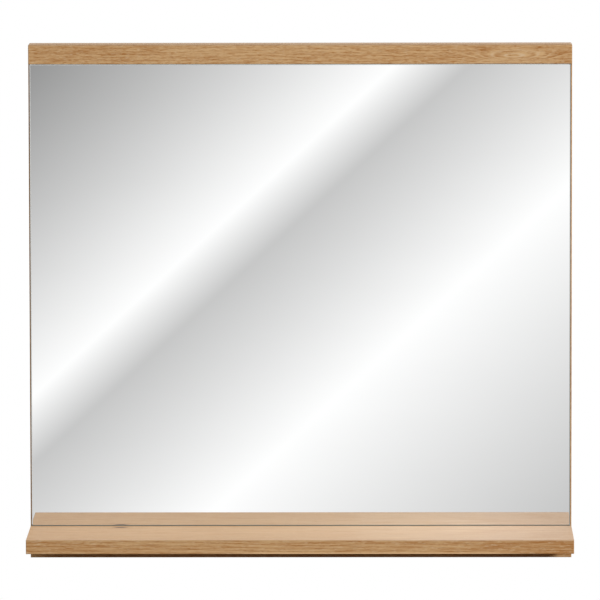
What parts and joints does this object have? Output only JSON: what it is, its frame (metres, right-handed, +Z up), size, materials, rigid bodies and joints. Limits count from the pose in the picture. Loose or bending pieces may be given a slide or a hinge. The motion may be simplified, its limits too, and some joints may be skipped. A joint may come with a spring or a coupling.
{
  "type": "wall mirror with shelf",
  "caption": "Wall mirror: a near-square pane on a carrier board between oak rails, with an oak shelf along its foot and keyhole plates let into its back.",
  "frame": {"origin": "on the wall's surface, midway between the round holes of the two keyhole plates", "axes": "+X to the right of a person who faces the mirror, +Y into the wall, +Z up"},
  "size_m": [0.7, 0.16, 0.666],
  "materials": {
    "oak": "clear matt oil, fine straight grain",
    "fibreboard": "plain sealed fibreboard",
    "mirror": "clear silvered glass with a ground arris",
    "tape": "grey foam tape",
    "adhesive": "cured neutral adhesive",
    "beech": "plain fluted beech",
    "zinc": "bright zinc plate"
  },
  "bodies": {
    "root": {"carrier_board": "fibreboard", "top_rail": "oak", "bottom_rail": "oak", "side_lipping_left": "oak", "side_lipping_right": "oak", "mirror_glass": "mirror", "mirror_tape": "tape", "mirror_adhesive": "adhesive", "shelf_board": "oak", "top_rail_dowels": "beech", "bottom_rail_dowels": "beech", "shelf_dowels": "beech", "shelf_screws": "zinc", "hanger_plate_left": "zinc", "hanger_plate_right": "zinc", "hanger_screws_left": "zinc", "hanger_screws_right": "zinc"}
  },
  "joints": []
}
